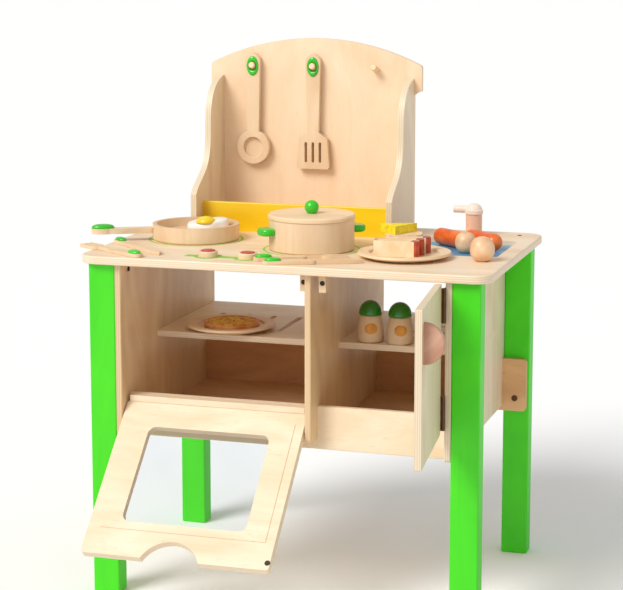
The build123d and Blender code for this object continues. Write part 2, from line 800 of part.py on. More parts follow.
# ---------------------------------------------------------------- hanging utensils
utensil_y1 = back_face - utensil_back
utensil_y0 = utensil_y1 - utensil_thick
peg_upper = peg_z + (back_face - utensil_y0) * tan(peg_a) + peg_r / cos(peg_a)
hole_z = peg_upper - peg_hole_r + utensil_touch
ladle_x, spatula_x = peg_xs["left"], peg_xs["middle"]
bowl_drop = 127.0
bowl_r, bowl_deep = 15.5, 6.0
with BuildPart() as ladle:
    with BuildSketch(Plane.XZ.offset(-utensil_y0)):
        with BuildLine():
            Polyline(
                (ladle_x - 12, hole_z + 8),
                (ladle_x - 9, hole_z - bowl_drop),
                (ladle_x + 9, hole_z - bowl_drop),
                (ladle_x + 12, hole_z + 8),
                close=True,
            )
        make_face()
        with Locations((ladle_x, hole_z + 8)):
            Circle(12)
        with Locations((ladle_x, hole_z - bowl_drop)):
            Circle(27)
        with Locations((ladle_x, hole_z)):
            Circle(peg_hole_r, mode=Mode.SUBTRACT)
    extrude(amount=-utensil_thick)
    with BuildSketch(Plane.XZ.offset(-utensil_y0)):
        with Locations((ladle_x, hole_z - bowl_drop)):
            Circle(bowl_r)
    extrude(amount=-bowl_deep, mode=Mode.SUBTRACT)
    fillet(ladle.edges().filter_by(GeomType.CIRCLE).group_by(Axis.Y)[0].sort_by(SortBy.RADIUS)[-2:], 1.2)
save(ladle, "ladle")

blade_top = hole_z - 105
blade_low = hole_z - 158.5
with BuildPart() as spatula:
    with BuildSketch(Plane.XZ.offset(-utensil_y0)):
        with BuildLine():
            Polyline(
                (spatula_x - 12, hole_z + 8),
                (spatula_x - 9, blade_top + 4),
                (spatula_x - 23, blade_top - 6),
                (spatula_x - 26.5, blade_low + 3),
                (spatula_x - 23.5, blade_low),
                (spatula_x + 23.5, blade_low),
                (spatula_x + 26.5, blade_low + 3),
                (spatula_x + 23, blade_top - 6),
                (spatula_x + 9, blade_top + 4),
                (spatula_x + 12, hole_z + 8),
                close=True,
            )
        make_face()
        with Locations((spatula_x, hole_z + 8)):
            Circle(12)
        with Locations((spatula_x, hole_z)):
            Circle(peg_hole_r, mode=Mode.SUBTRACT)
        with Locations(*[(spatula_x + 11.5 * i, blade_low + 26) for i in (-1, 0, 1)]):
            SlotOverall(32, 4.4, rotation=90, mode=Mode.SUBTRACT)
    extrude(amount=-utensil_thick)
save(spatula, "spatula")

# ---------------------------------------------------------------- shakers, plates
for side, (x, y) in shaker_places.items():
    with BuildPart() as shaker:
        with BuildSketch(upright(x, y, shelf_top + item_gap)):
            with BuildLine():
                Polyline((0, 0), (shaker_r - 1.5, 0), (shaker_r, 1.5), (shaker_r, 16), (shaker_r - 3, 38))
                Line((shaker_r - 3, 38), (shaker_r - 4, 39.5))
                Line((shaker_r - 4, 39.5), (shaker_r - 2.6, 40))
                Spline((shaker_r - 2.6, 40), (shaker_r - 4.2, 50), (shaker_r - 11, 57.5), (0, shaker_high))
                Line((0, shaker_high), (0, 0))
            make_face()
        revolve(axis=Axis((x, y, 0), (0, 0, 1)))
    save(shaker, f"{side}_shaker")

for name, x, y, z in (("serving", plate_x, plate_y, height), ("pizza", pizza_x, pizza_y, shelf_top)):
    with BuildPart() as plate:
        with BuildSketch(upright(x, y, z + item_gap)):
            with BuildLine():
                Polyline(
                    (0, 0), (plate_well_r - 2, 0), (plate_r - 5, plate_high - 5), (plate_r, plate_high - 3),
                    (plate_r - 1.5, plate_high),
                    (plate_well_r + 1, plate_high - 1),
                    (plate_well_r, plate_high - 2),
                    (plate_well_r - 1, plate_high - plate_well), (0, plate_high - plate_well), close=True,
                )
            make_face()
        revolve(axis=Axis((x, y, 0), (0, 0, 1)))
    save(plate, f"{name}_plate")

pizza_z = shelf_top + item_gap + plate_high - plate_well + item_gap
with BuildPart() as pizza:
    with BuildSketch(upright(pizza_x + 2, pizza_y - 3, pizza_z)):
        with BuildLine():
            Polyline((0, 0), (pizza_r - 2, 0), (pizza_r, 2), (pizza_r, 5.5), (pizza_r - 3, pizza_thick))
            Line((pizza_r - 3, pizza_thick), (pizza_r - 7, pizza_thick - 1.5))
            Line((pizza_r - 7, pizza_thick - 1.5), (0, pizza_thick - 1))
            Line((0, pizza_thick - 1), (0, 0))
        make_face()
    revolve(axis=Axis((pizza_x + 2, pizza_y - 3, 0), (0, 0, 1)))
save(pizza, "pizza")

slice_z = height + item_gap + plate_high - plate_well + item_gap
slices = ((6, 11, 24), (1, -8, 17), (-1, -27, 10))  # place and turn of each
with BuildPart() as cake:
    for dx, dy, turn in slices:
        with BuildSketch(lying(plate_x + dx, plate_y + dy, slice_z, turn)):
            with BuildLine():
                Polyline((-36, 4), (-36, 1), (24, -6), (28, -4), (28, 7), (24, 8), close=True)
            make_face()
        extrude(amount=22)
save(cake, "cake_slices")

# ---------------------------------------------------------------- bread, cheese
# two slices, one on the other, and a wedge of cheese on top
bread_thick = 9.6
bread_lay = ((112.0, 14.0, 60.0, 44.0), (125.0, 17.0, 54.0, 40.0))
with BuildPart() as bread:
    for i, (x, y, long, wide) in enumerate(bread_lay):
        with BuildSketch(lying(x, y, height + item_gap + i * bread_thick, 12)):
            RectangleRounded(long, wide, 9)
        extrude(amount=bread_thick)
save(bread, "bread_slices")

with BuildPart() as cheese:
    with BuildSketch(lying(117, 18, height + 2 * item_gap + 2 * bread_thick, 12)):
        with BuildLine():
            Polyline((-29, 11), (26, 18), (-4, -23), close=True)
        make_face()
    extrude(amount=12)
save(cheese, "cheese_wedge")

# ---------------------------------------------------------------- sausages, rolls
basin_top = height - sink_depth + basin_thick
sausage_r, sausage_long = 12.5, 75.0
sausages = {"left": (184.0, 76.0, -40.0), "right": (231.0, 74.0, -40.0)}
for side, (x, y, turn) in sausages.items():
    along = (cos(radians(turn)), sin(radians(turn)), 0)
    with BuildPart() as sausage:
        with BuildSketch(Plane(origin=(x, y, basin_top + item_gap + sausage_r), z_dir=along)):
            Circle(sausage_r)
        extrude(amount=sausage_long / 2, both=True)
        fillet(sausage.edges().filter_by(GeomType.CIRCLE), sausage_r - 1.5)
    save(sausage, f"{side}_sausage")

roll_edge_in = 37.0  # front roll's middle from the worktop's right edge
rolls = {"rear": (215.0, 28.5, basin_top, 15.5), "front": (top_width / 2 - roll_edge_in, -79.0, height, 17.5)}
for name, (x, y, z, r) in rolls.items():
    with BuildPart() as roll:
        with BuildSketch(upright(x, y, z + item_gap)):
            with BuildLine():
                Line((0, 0), (r * 0.45, 0))
                Spline((r * 0.45, 0), (r * 0.93, r * 0.5), (r, r), (r * 0.8, r * 1.6), (0, 1.95 * r))
                Line((0, 1.95 * r), (0, 0))
            make_face()
        revolve(axis=Axis((x, y, 0), (0, 0, 1)))
    save(roll, f"{name}_roll")

# ---------------------------------------------------------------- cutlery
# each lies along its local x from the handle's end
cutlery = {
    "left_knife": (-292.0, -72.0, -41.0, "knife"),
    "left_fork": (-204.0, -193.0, 149.0, "fork"),
    "right_knife": (-22.0, -195.0, 21.6, "knife"),
    "right_fork": (-44.0, -170.0, 24.0, "fork"),
}
for node, (x, y, turn, kind) in cutlery.items():
    with BuildPart() as tool:
        with BuildSketch(lying(x, y, height + item_gap, turn)):
            with Locations((38, 0)):
                RectangleRounded(76, cutlery_wide, cutlery_wide / 2 - 0.1)
            if kind == "knife":
                with BuildLine():
                    Line((60, -5), (60, 7))
                    Spline((60, 7), (90, 9), (124, 8), (cutlery_long, -2))
                    Spline((cutlery_long, -2), (128, -6), (95, -6.5), (60, -5))
                make_face()
            else:
                with Locations((86, 0)):
                    Rectangle(40, 8)
                with BuildLine():
                    Spline((96, 4), (103, 10), (113, 11.5))
                    Polyline((113, 11.5), (cutlery_long - 8, 10.5), (cutlery_long - 8, -10.5), (113, -11.5))
                    Spline((113, -11.5), (103, -10), (96, -4))
                    Line((96, -4), (96, 4))
                make_face()
                with Locations((cutlery_long - 19, 4), (cutlery_long - 19, -4)):
                    Rectangle(26, 3.2, mode=Mode.SUBTRACT)
        extrude(amount=cutlery_thick)
    save(tool, node)
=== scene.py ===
import math

import bmesh
import bpy
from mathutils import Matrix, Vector


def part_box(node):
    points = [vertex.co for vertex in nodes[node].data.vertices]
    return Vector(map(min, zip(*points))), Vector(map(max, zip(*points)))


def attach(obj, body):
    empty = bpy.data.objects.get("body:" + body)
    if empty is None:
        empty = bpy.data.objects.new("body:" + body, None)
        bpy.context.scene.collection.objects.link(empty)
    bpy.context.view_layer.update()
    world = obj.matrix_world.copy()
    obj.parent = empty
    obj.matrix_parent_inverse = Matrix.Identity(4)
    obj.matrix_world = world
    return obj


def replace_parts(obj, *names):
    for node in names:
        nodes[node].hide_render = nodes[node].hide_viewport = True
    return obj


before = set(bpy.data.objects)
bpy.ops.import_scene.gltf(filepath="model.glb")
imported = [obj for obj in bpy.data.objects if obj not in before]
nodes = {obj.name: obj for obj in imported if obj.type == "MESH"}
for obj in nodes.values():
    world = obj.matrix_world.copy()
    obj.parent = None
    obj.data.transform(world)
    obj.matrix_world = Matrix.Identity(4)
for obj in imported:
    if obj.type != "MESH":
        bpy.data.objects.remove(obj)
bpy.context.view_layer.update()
scene = bpy.context.scene
scene.view_settings.view_transform = "Standard"

X, Y, Z = Vector((1, 0, 0)), Vector((0, 1, 0)), Vector((0, 0, 1))


def centre(node):
    lo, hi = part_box(node)
    return (Vector(lo) + Vector(hi)) / 2


def top(node):
    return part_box(node)[1][2]


# ------------------------------------------------------------ node helpers
class Nodes:
    """Short calls for building one material's node tree."""

    def __init__(self, name, rough=0.5, coat=0.0, metal=0.0, specular=0.5):
        self.mat = bpy.data.materials.new(name)
        self.mat.use_nodes = True
        self.tree = self.mat.node_tree
        self.shader = self.tree.nodes["Principled BSDF"]
        self.shader.inputs["Roughness"].default_value = rough
        self.shader.inputs["Coat Weight"].default_value = coat
        self.shader.inputs["Coat Roughness"].default_value = 0.3
        self.shader.inputs["Metallic"].default_value = metal
        self.shader.inputs["Specular IOR Level"].default_value = specular
        coord = self.new("ShaderNodeTexCoord")
        self.place, self.normal = coord.outputs["Object"], coord.outputs["Normal"]

    def new(self, kind, **values):
        node = self.tree.nodes.new(kind)
        for key, value in values.items():
            setattr(node, key, value)
        return node

    def put(self, socket, value):
        if isinstance(value, bpy.types.NodeSocket):
            self.tree.links.new(value, socket)
        else:
            socket.default_value = value

    def math(self, operation, a, b=0.0, clamp=False):
        node = self.new("ShaderNodeMath", operation=operation, use_clamp=clamp)
        self.put(node.inputs[0], a)
        self.put(node.inputs[1], b)
        return node.outputs[0]

    def dot(self, vector, direction):
        node = self.new("ShaderNodeVectorMath", operation="DOT_PRODUCT")
        self.put(node.inputs[0], vector)
        self.put(node.inputs[1], tuple(direction))
        return node.outputs["Value"]

    def along(self, u, v, w):
        """Coordinates stretched along three directions, each already scaled."""
        node = self.new("ShaderNodeCombineXYZ")
        for socket, direction in zip(node.inputs, (u, v, w)):
            self.put(socket, self.dot(self.place, direction))
        return node.outputs[0]

    def noise(self, vector, scale, detail=3.0, rough=0.5, distortion=0.0):
        node = self.new("ShaderNodeTexNoise")
        self.put(node.inputs["Vector"], vector)
        node.inputs["Scale"].default_value = scale
        node.inputs["Detail"].default_value = detail
        node.inputs["Roughness"].default_value = rough
        node.inputs["Distortion"].default_value = distortion
        return node.outputs["Fac"]

    def ramp(self, factor, *stops):
        node = self.new("ShaderNodeValToRGB")
        self.put(node.inputs[0], factor)
        while len(node.color_ramp.elements) < len(stops):
            node.color_ramp.elements.new(0.5)
        for element, (position, colour) in zip(node.color_ramp.elements, stops):
            element.position = position
            element.color = (*colour, 1) if len(colour) == 3 else colour
        return node.outputs[0]

    def mix(self, factor, a, b, blend="MIX"):
        node = self.new("ShaderNodeMix", data_type="RGBA", blend_type=blend)
        self.put(node.inputs["Factor"], factor)
        self.put(node.inputs[6], a if isinstance(a, bpy.types.NodeSocket) else (*a, 1))
        self.put(node.inputs[7], b if isinstance(b, bpy.types.NodeSocket) else (*b, 1))
        return node.outputs[2]

    def bump(self, height, strength=0.2, distance=0.0005):
        node = self.new("ShaderNodeBump")
        node.inputs["Strength"].default_value = strength
        node.inputs["Distance"].default_value = distance
        self.put(node.inputs["Height"], height)
        self.tree.links.new(node.outputs[0], self.shader.inputs["Normal"])

    def colour(self, value):
        self.put(self.shader.inputs["Base Color"], value)
        return self.mat


def srgb(*rgb):
    """Linear colour of an sRGB colour given as 0 to 255."""
    return tuple((c / 255 / 12.92) if c < 10.3 else ((c / 255 + 0.055) / 1.055) ** 2.4 for c in rgb)


def grain_fields(n, grain, face):
    """Fine streaks and broad figure of a veneer with that grain and face."""
    across = face.cross(grain)
    streak = n.noise(n.along(grain * 7, across * 130, face * 40), 1.0, 4, 0.6, 0.3)
    figure = n.noise(n.along(grain * 4.5, across * 14, face * 6), 1.0, 3, 0.5, 1.6)
    return streak, figure


def plywood(name, grain, face, light, dark, ply_edge=True):
    """Birch plywood: pale figured veneer on its faces and thin layers on its edges."""
    n = Nodes(name, rough=0.5, coat=0.12)
    streak, figure = grain_fields(n, grain, face)
    middle = tuple((a + b) / 2 for a, b in zip(light, dark))
    base = n.ramp(figure, (0.3, light), (0.55, middle), (0.78, dark))
    base = n.mix(n.math("MULTIPLY", streak, 0.5), base, light)
    fleck = n.noise(n.along(grain * 60, face.cross(grain) * 420, face * 60), 1.0, 1)
    base = n.mix(n.ramp(fleck, (0.64, (0, 0, 0)), (0.72, (0.35, 0.35, 0.35))), base, dark)
    if ply_edge:
        side = n.math("LESS_THAN", n.math("ABSOLUTE", n.dot(n.normal, face)), 0.6)
        layer = n.math("SINE", n.math("MULTIPLY", n.dot(n.place, face), 2 * math.pi / 0.003))
        edge_light = tuple(c * 0.94 for c in light)
        edge_dark = tuple((a + b) / 2 * 0.93 for a, b in zip(light, dark))
        layers = n.ramp(n.math("MULTIPLY_ADD", layer, 0.5), (0.25, edge_dark), (0.7, edge_light))
        base = n.mix(side, base, layers)
    n.bump(streak, 0.08)
    return n.colour(base)


def solid_wood(name, grain, light, dark, rough=0.5, rings=True):
    """Solid pale hardwood with long grain and pores."""
    n = Nodes(name, rough=rough, coat=0.1)
    side = grain.orthogonal().normalized()
    streak, figure = grain_fields(n, grain, side)
    base = n.ramp(figure, (0.25, light), (0.8, dark))
    base = n.mix(n.ramp(streak, (0.45, (0, 0, 0)), (0.75, (0.45,) * 3)), base, dark)
    if rings:
        end = n.math("GREATER_THAN", n.math("ABSOLUTE", n.dot(n.normal, grain)), 0.8)
        base = n.mix(n.math("MULTIPLY", end, 0.35), base, tuple(c * 0.8 for c in dark))
    n.bump(streak, 0.1)
    return n.colour(base)


def stained(name, grain, light, dark, rough=0.35, coat=0.35):
    """Coloured lacquer that lets the wood grain show a little."""
    n = Nodes(name, rough=rough, coat=coat)
    streak, figure = grain_fields(n, grain, grain.orthogonal().normalized())
    base = n.ramp(figure, (0.3, light), (0.8, dark))
    base = n.mix(n.ramp(streak, (0.5, (0, 0, 0)), (0.75, (0.3,) * 3)), base, dark)
    n.bump(streak, 0.06)
    return n.colour(base)


def metal(name, colour, rough=0.35):
    n = Nodes(name, rough=rough, metal=1.0)
    wear = n.noise(n.place, 220, 4)
    n.bump(wear, 0.1, 0.0002)
    return n.colour(n.ramp(wear, (0.3, colour), (0.8, tuple(c * 0.7 for c in colour))))


# ------------------------------------------------------------ materials
cream, tan = srgb(246, 226, 198), srgb(226, 190, 146)
pale, pale_dark = srgb(238, 221, 192), srgb(214, 186, 146)
door_turn = math.radians(134.4)
door_face = Vector((0, math.cos(door_turn), math.sin(door_turn)))
cup_turn = math.radians(96)
cup_face = Vector((math.sin(cup_turn), -math.cos(cup_turn), 0))

ply_level = plywood("birch ply level", X, Z, cream, tan)
ply_back = plywood("birch ply upright", Z, Y, srgb(248, 222, 190), srgb(236, 198, 154))
ply_side = plywood("birch ply side", Z, X, pale, pale_dark)
# Painted shade: the left panel and the divider get a darker, browner birch colour that stands in for the
# shade inside the compartments.
ply_inner_painted_shade = plywood("birch ply inner painted shade", Z, X, srgb(232, 202, 160), srgb(200, 158, 110))
# Painted shade: the bottom shelf gets a darker, browner birch colour that stands in for the shade in the
# lower compartments.
ply_floor_painted_shade = plywood("birch ply floor painted shade", X, Z, srgb(226, 184, 138), srgb(190, 138, 90))
ply_rail = plywood("birch ply rail", X, Y, cream, tan)
# Painted shade: the rear rail gets a darker, browner birch colour that stands in for the shade at the back of
# the lower compartments.
ply_rear_painted_shade = plywood("birch ply rear painted shade", X, Y, srgb(232, 184, 134), srgb(196, 138, 86))
ply_oven = plywood("birch ply oven door", X, door_face, cream, tan)
ply_cup = plywood("birch ply cupboard door", Z, cup_face, pale, pale_dark)
birch_x = solid_wood("birch along x", X, srgb(244, 220, 186), srgb(220, 180, 134))
birch_z = solid_wood("birch turned", Z, srgb(242, 216, 182), srgb(222, 184, 142))
birch_lid = solid_wood("birch lid", X, srgb(246, 218, 182), srgb(230, 192, 146), rings=False)
pink_wood = solid_wood("pinkish beech", Z, srgb(244, 202, 176), srgb(226, 172, 140), rings=False)
faucet_wood = solid_wood("pale beech", Z, srgb(250, 232, 218), srgb(238, 206, 184), rings=False)
grip_wood = solid_wood("beech grip", Y, srgb(214, 170, 142), srgb(178, 124, 98), rings=False)
green_leg = stained("green lacquer", Z, srgb(72, 222, 0), srgb(56, 204, 0), 0.5, 0.04)
green_trim = stained("green enamel", Z, srgb(48, 206, 12), srgb(28, 170, 6), 0.22, 0.5)
green_cap = stained("dark green enamel", Z, srgb(18, 140, 18), srgb(10, 112, 10), 0.15, 0.8)
yellow = stained("yellow lacquer", X, srgb(250, 212, 20), srgb(236, 184, 0))
blue = stained("blue lacquer", X, srgb(96, 166, 206), srgb(60, 132, 184))
red_trim = stained("red enamel", Z, srgb(206, 54, 50), srgb(160, 30, 34), 0.22, 0.6)
steel = metal("steel", (0.62, 0.61, 0.60))
bronze = metal("bronzed steel", srgb(112, 80, 56), 0.42)
dark_metal = metal("blackened steel", srgb(70, 62, 56), 0.5)


def glass_pane():
    """Clear acrylic with a faint blue tint and fine surface waviness."""
    n = Nodes("clear acrylic", rough=0.03)
    n.shader.inputs["Transmission Weight"].default_value = 1.0
    n.shader.inputs["IOR"].default_value = 1.2
    n.bump(n.noise(n.place, 30, 2), 0.02)
    tint = n.ramp(n.noise(n.place, 12, 1), (0.3, srgb(238, 243, 246)), (0.7, srgb(243, 247, 249)))
    return n.colour(tint)


def sausage_skin():
    n = Nodes("sausage", rough=0.3, coat=0.4)
    blotch = n.noise(n.place, 60, 3)
    n.bump(blotch, 0.1)
    return n.colour(n.ramp(blotch, (0.35, srgb(240, 118, 36)), (0.6, srgb(218, 84, 14))))


def pizza_top():
    """Baked topping: yellow cheese with green and red-brown bits."""
    n = Nodes("pizza topping", rough=0.7)
    cheese = n.ramp(n.noise(n.place, 90, 4), (0.35, srgb(250, 214, 96)), (0.65, srgb(222, 154, 58)))
    herb = n.ramp(n.noise(n.place, 210, 2), (0.62, (0, 0, 0)), (0.66, (1, 1, 1)))
    base = n.mix(herb, cheese, srgb(150, 150, 52))
    meat = n.ramp(n.noise(n.place, 130, 2), (0.64, (0, 0, 0)), (0.68, (1, 1, 1)))
    n.bump(n.noise(n.place, 160, 4), 0.9, 0.002)
    return n.colour(n.mix(meat, base, srgb(190, 92, 46)))


def mottled(name, light, dark, scale, rough=0.5, coat=0.0, bump=0.1):
    n = Nodes(name, rough=rough, coat=coat)
    field = n.noise(n.place, scale, 4)
    n.bump(field, bump, 0.0008)
    return n.colour(n.ramp(field, (0.35, light), (0.68, dark)))


pane_clear = glass_pane()
sausage_mat = sausage_skin()
topping = pizza_top()
crust = mottled("pizza crust", srgb(240, 176, 116), srgb(214, 130, 72), 70, 0.6)
egg_white = mottled("egg white", srgb(252, 250, 244), srgb(240, 236, 226), 30, 0.35, 0.3)
yolk_mat = mottled("egg yolk", srgb(250, 224, 26), srgb(236, 196, 10), 40, 0.3, 0.4)
cheese_mat = mottled("cheese", srgb(252, 234, 40), srgb(232, 202, 14), 150, 0.5, 0.1, 0.6)
roll_mat = mottled("bread roll", srgb(244, 206, 164), srgb(222, 168, 124), 60, 0.45, 0.15)
bread_mat = mottled("bread crumb", srgb(248, 222, 182), srgb(228, 184, 132), 110, 0.6, 0.0, 0.3)
cake_mat = mottled("cake", srgb(252, 228, 190), srgb(244, 206, 160), 60, 0.55)
cake_crust = mottled("cake crust", srgb(196, 74, 36), srgb(146, 44, 20), 90, 0.4, 0.3)
orange_mark = mottled("orange print", srgb(236, 170, 70), srgb(214, 136, 48), 80, 0.5)
green_print = mottled("green print", srgb(160, 210, 80), srgb(132, 194, 54), 80, 0.5)

looks = {
    ply_level: ["worktop", "mid_shelf"],
    ply_floor_painted_shade: ["bottom_shelf"],
    ply_inner_painted_shade: ["left_side_panel", "centre_divider"],
    ply_back: ["splashback"],
    ply_side: ["right_side_panel", "left_bracket", "right_bracket"],
    ply_rail: ["front_rail", "oven_door_stop"],
    ply_rear_painted_shade: ["rear_rail"],
    ply_oven: ["oven_door_frame"],
    ply_cup: ["cupboard_door"],
    birch_x: ["catch_blocks", "frying_pan_handle", "left_knife", "right_knife", "left_fork", "right_fork"],
    birch_z: ["pot", "frying_pan", "left_shaker", "right_shaker", "ladle", "spatula", "left_knob"],
    birch_lid: ["pot_lid", "serving_plate", "pizza_plate", "right_knob", "utensil_pegs"],
    pink_wood: ["faucet_column"],
    faucet_wood: ["faucet_head"],
    grip_wood: ["cupboard_door_grip"],
    green_leg: ["front_left_leg", "front_right_leg", "rear_left_leg", "rear_right_leg"],
    green_trim: ["pot_handles", "pot_lid_ball"],
    yellow: ["spice_rail"],
    blue: ["sink_basin"],
    pane_clear: ["oven_door_window"],
    steel: ["cupboard_door_strike", "oven_hinge_pins"],
    dark_metal: ["oven_door_strike", "catch_magnets"],
    bronze: ["rail_bolts", "hinge_fixed_leaves", "hinge_door_leaves"],
    sausage_mat: ["left_sausage", "right_sausage"],
    egg_white: ["fried_egg"],
    cheese_mat: ["cheese_wedge"],
    roll_mat: ["front_roll", "rear_roll"],
    bread_mat: ["bread_slices"],
    cake_mat: ["cake_slices"],
    crust: ["pizza"],
}
for look, names in looks.items():
    for name in names:
        nodes[name].data.materials.clear()
        nodes[name].data.materials.append(look)


# ------------------------------------------------------------ piece helpers
def piece(name, mesh_maker, material, body, smooth=True):
    """A new mesh object made by filling a bmesh, on a CAD body."""
    mesh = bpy.data.meshes.new(name)
    bm = bmesh.new()
    mesh_maker(bm)
    bmesh.ops.recalc_face_normals(bm, faces=bm.faces)
    bm.to_mesh(mesh)
    bm.free()
    obj = bpy.data.objects.new(name, mesh)
    scene.collection.objects.link(obj)
    mesh.materials.append(material)
    for face in mesh.polygons:
        face.use_smooth = smooth
    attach(obj, body)
    return obj


def bridge(bm, rows):
    """Quads between neighbouring closed rows of the same length."""
    for low, up in zip(rows, rows[1:]):
        count = len(low)
        for i in range(count):
            bm.faces.new((low[i], low[(i + 1) % count], up[(i + 1) % count], up[i]))


def close_ends(bm, rows):
    bm.faces.new(rows[0][::-1])
    bm.faces.new(rows[-1])


def lathe(bm, middle, profile, axis=Z, steps=64, stretch=(1, 1), turn=0.0):
    """Turns (radius, height) points about an axis through middle."""
    side = Vector((math.cos(turn), math.sin(turn), 0)) if axis == Z else axis.orthogonal().normalized()
    other = axis.cross(side)
    rings = []
    for r, h in profile:
        ring = []
        for i in range(steps):
            a = 2 * math.pi * i / steps
            out = side * (r * math.cos(a) * stretch[0]) + other * (r * math.sin(a) * stretch[1])
            ring.append(bm.verts.new(middle + out + axis * h))
        rings.append(ring)
    bridge(bm, rings)
    close_ends(bm, rings)


def button(name, middle, r, high, material, body, axis=Z, stretch=(1, 1), turn=0.0):
    """A domed disc, such as an enamelled inlay."""
    shape = ((1, 0), (1, 0.3), (0.94, 0.58), (0.8, 0.8), (0.55, 0.95), (0.25, 1))
    profile = [(r * across, high * up) for across, up in shape]

    def fill(bm):
        lathe(bm, middle, profile, axis, 40, stretch, turn)

    return piece(name, fill, material, body)


def ring(name, middle, r, wide, high, material, body):
    """A thin flat printed ring."""

    def fill(bm):
        loops = []
        for radius, z in ((r - wide, 0), (r - wide, high), (r, high), (r, 0)):
            loops.append(
                [
                    bm.verts.new(middle + Vector((radius * math.cos(a), radius * math.sin(a), z)))
                    for a in (2 * math.pi * i / 96 for i in range(96))
                ]
            )
        bridge(bm, loops + loops[:1])

    return piece(name, fill, material, body, smooth=False)


# ------------------------------------------------------------ worktop prints and trims
table_z = top("worktop")
print_high = 0.00025
pan_mid, pot_mid = centre("frying_pan"), centre("pot")
for name, mid in (("pan", pan_mid), ("pot", pot_mid)):
    place = Vector((mid.x, mid.y, table_z))
    ring(f"burner_ring_{name}", place, 0.0715, 0.0035, print_high, green_print, "kitchen")
for side in ("left", "right"):
    knob = centre(f"{side}_knob")
    node = f"{side}_knob"
    button(f"{node}_cap", Vector((knob.x, knob.y, top(node))), 0.0105, 0.0022, red_trim, node)
    ring(f"{node}_ring", Vector((knob.x, knob.y, table_z)), 0.0205, 0.005, print_high, green_print, "kitchen")


def knob_strip(bm):
    """Printed band that joins the two knobs."""
    a, b = centre("left_knob"), centre("right_knob")
    run = (b - a).xy.to_3d().normalized()
    side = Z.cross(run) * 0.008
    start, end = a - run * 0.034, b + run * 0.036
    corners = [start - side, end - side, end + side, start + side]
    low = [bm.verts.new((c.x, c.y, table_z)) for c in corners]
    up = [bm.verts.new((c.x, c.y, table_z + print_high * 0.8)) for c in corners]
    close_ends(bm, [low, up])
    bridge(bm, [low, up])


piece("knob_print", knob_strip, green_print, "kitchen", smooth=False)

# green ovals at the hanging holes of the ladle and the spatula
for name in ("ladle", "spatula"):
    lo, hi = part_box(name)
    mid = Vector(((lo[0] + hi[0]) / 2, lo[1], hi[2] - 0.0185))

    def oval(bm, mid=mid):
        """Enamelled oval band round the hole."""
        loops = []
        hole, out_x, out_z, step = 0.0066, 0.0094, 0.0152, 0.0016
        for depth, share in ((0.0, 1.0), (step, 0.92), (step, 0.0), (0.0, 0.0)):
            row = []
            for i in range(48):
                a = 2 * math.pi * i / 48
                rx = hole + (out_x - hole) * share
                rz = hole + (out_z - hole) * share
                row.append(bm.verts.new(mid + Vector((rx * math.cos(a), -depth, rz * math.sin(a) - 0.0006))))
            loops.append(row)
        bridge(bm, loops + loops[:1])

    piece(f"{name}_green_oval", oval, green_trim, name)

# cutlery and pan handle ends: green ovals
cutlery_turns = {"left_knife": -41.0, "left_fork": 149.0, "right_knife": 21.6, "right_fork": 24.0}
half_handle, oval_in = 0.008, 0.0145
for name, turn in cutlery_turns.items():
    a = math.radians(turn)
    lo, hi = (Vector(v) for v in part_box(name))
    run = Vector((math.cos(a), math.sin(a), 0))
    cap = Vector((0, 0, hi.z))  # middle of the rounded handle end
    cap.x = lo.x + half_handle if run.x > 0 else hi.x - half_handle
    cap.y = lo.y + half_handle if run.y > 0 else hi.y - half_handle
    spot = cap + run * (oval_in - half_handle)
    button(f"{name}_green_oval", spot, 0.0074, 0.0042, green_trim, name, stretch=(1.6, 1.0), turn=a)

handle_turn = math.radians(205.4)
run = Vector((math.cos(handle_turn), math.sin(handle_turn), 0))
tip = Vector((pan_mid.x, pan_mid.y, top("frying_pan_handle"))) + run * 0.139
button(
    "pan_handle_green_oval",
    tip,
    0.0096,
    0.0062,
    green_trim,
    "frying_pan",
    stretch=(1.75, 1.0),
    turn=handle_turn,
)

# shakers: green caps and an orange mark
for side in ("left", "right"):
    node = f"{side}_shaker"
    mid = centre(node)
    base = Vector((mid.x, mid.y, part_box(node)[0][2]))
    r = (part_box(node)[1][0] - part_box(node)[0][0]) / 2

    def cap(bm, base=base, r=r):
        profile = [(r - 0.0042, 0.0392), (r - 0.0026, 0.0396), (r - 0.0021, 0.041)]
        for i in range(1, 12):
            a = math.pi / 2 * i / 12
            profile.append(((r - 0.0021) * math.cos(a), 0.0416 + 0.0186 * math.sin(a)))
        lathe(bm, base, profile)

    piece(f"{node}_cap", cap, green_cap, node)

    def body_turning(bm, base=base, r=r):
        foot = [(r - 0.0015, 0), (r, 0.0015), (r, 0.016)]
        shoulder = [(r - 0.0012, 0.026), (r - 0.003, 0.0375), (r - 0.0042, 0.0392)]
        lathe(bm, base, foot + shoulder)

    piece(f"{node}_turned_body", body_turning, birch_z, node)
    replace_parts(bpy.data.objects[f"{node}_turned_body"], node)
    toward = Vector((0.30, -0.95, 0.0)).normalized()
    spot = base + toward * (r - 0.0034) + Z * 0.021
    tilt = (toward + Z * 0.12).normalized()
    button(f"{node}_mark", spot, 0.0088, 0.0040, orange_mark, node, axis=tilt)


# ------------------------------------------------------------ food
egg_lo, egg_hi = (Vector(v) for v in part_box("fried_egg"))
egg_mid = (egg_lo + egg_hi) / 2
yolk_spot = Vector((egg_mid.x + 0.003, egg_mid.y - 0.010, 0))


def egg_outline(a):
    """Radius share of the spread white at an angle."""
    return 1 + 0.05 * math.sin(2 * a + 0.6) + 0.06 * math.sin(3 * a) + 0.03 * math.sin(5 * a + 1)


def egg_height(x, y):
    """The white lies low at the left and rides up the pan's rim at the back right."""
    slope = (x - egg_mid.x) * 0.13 + (y - egg_mid.y) * 0.10
    return egg_lo.z + 0.0135 + slope


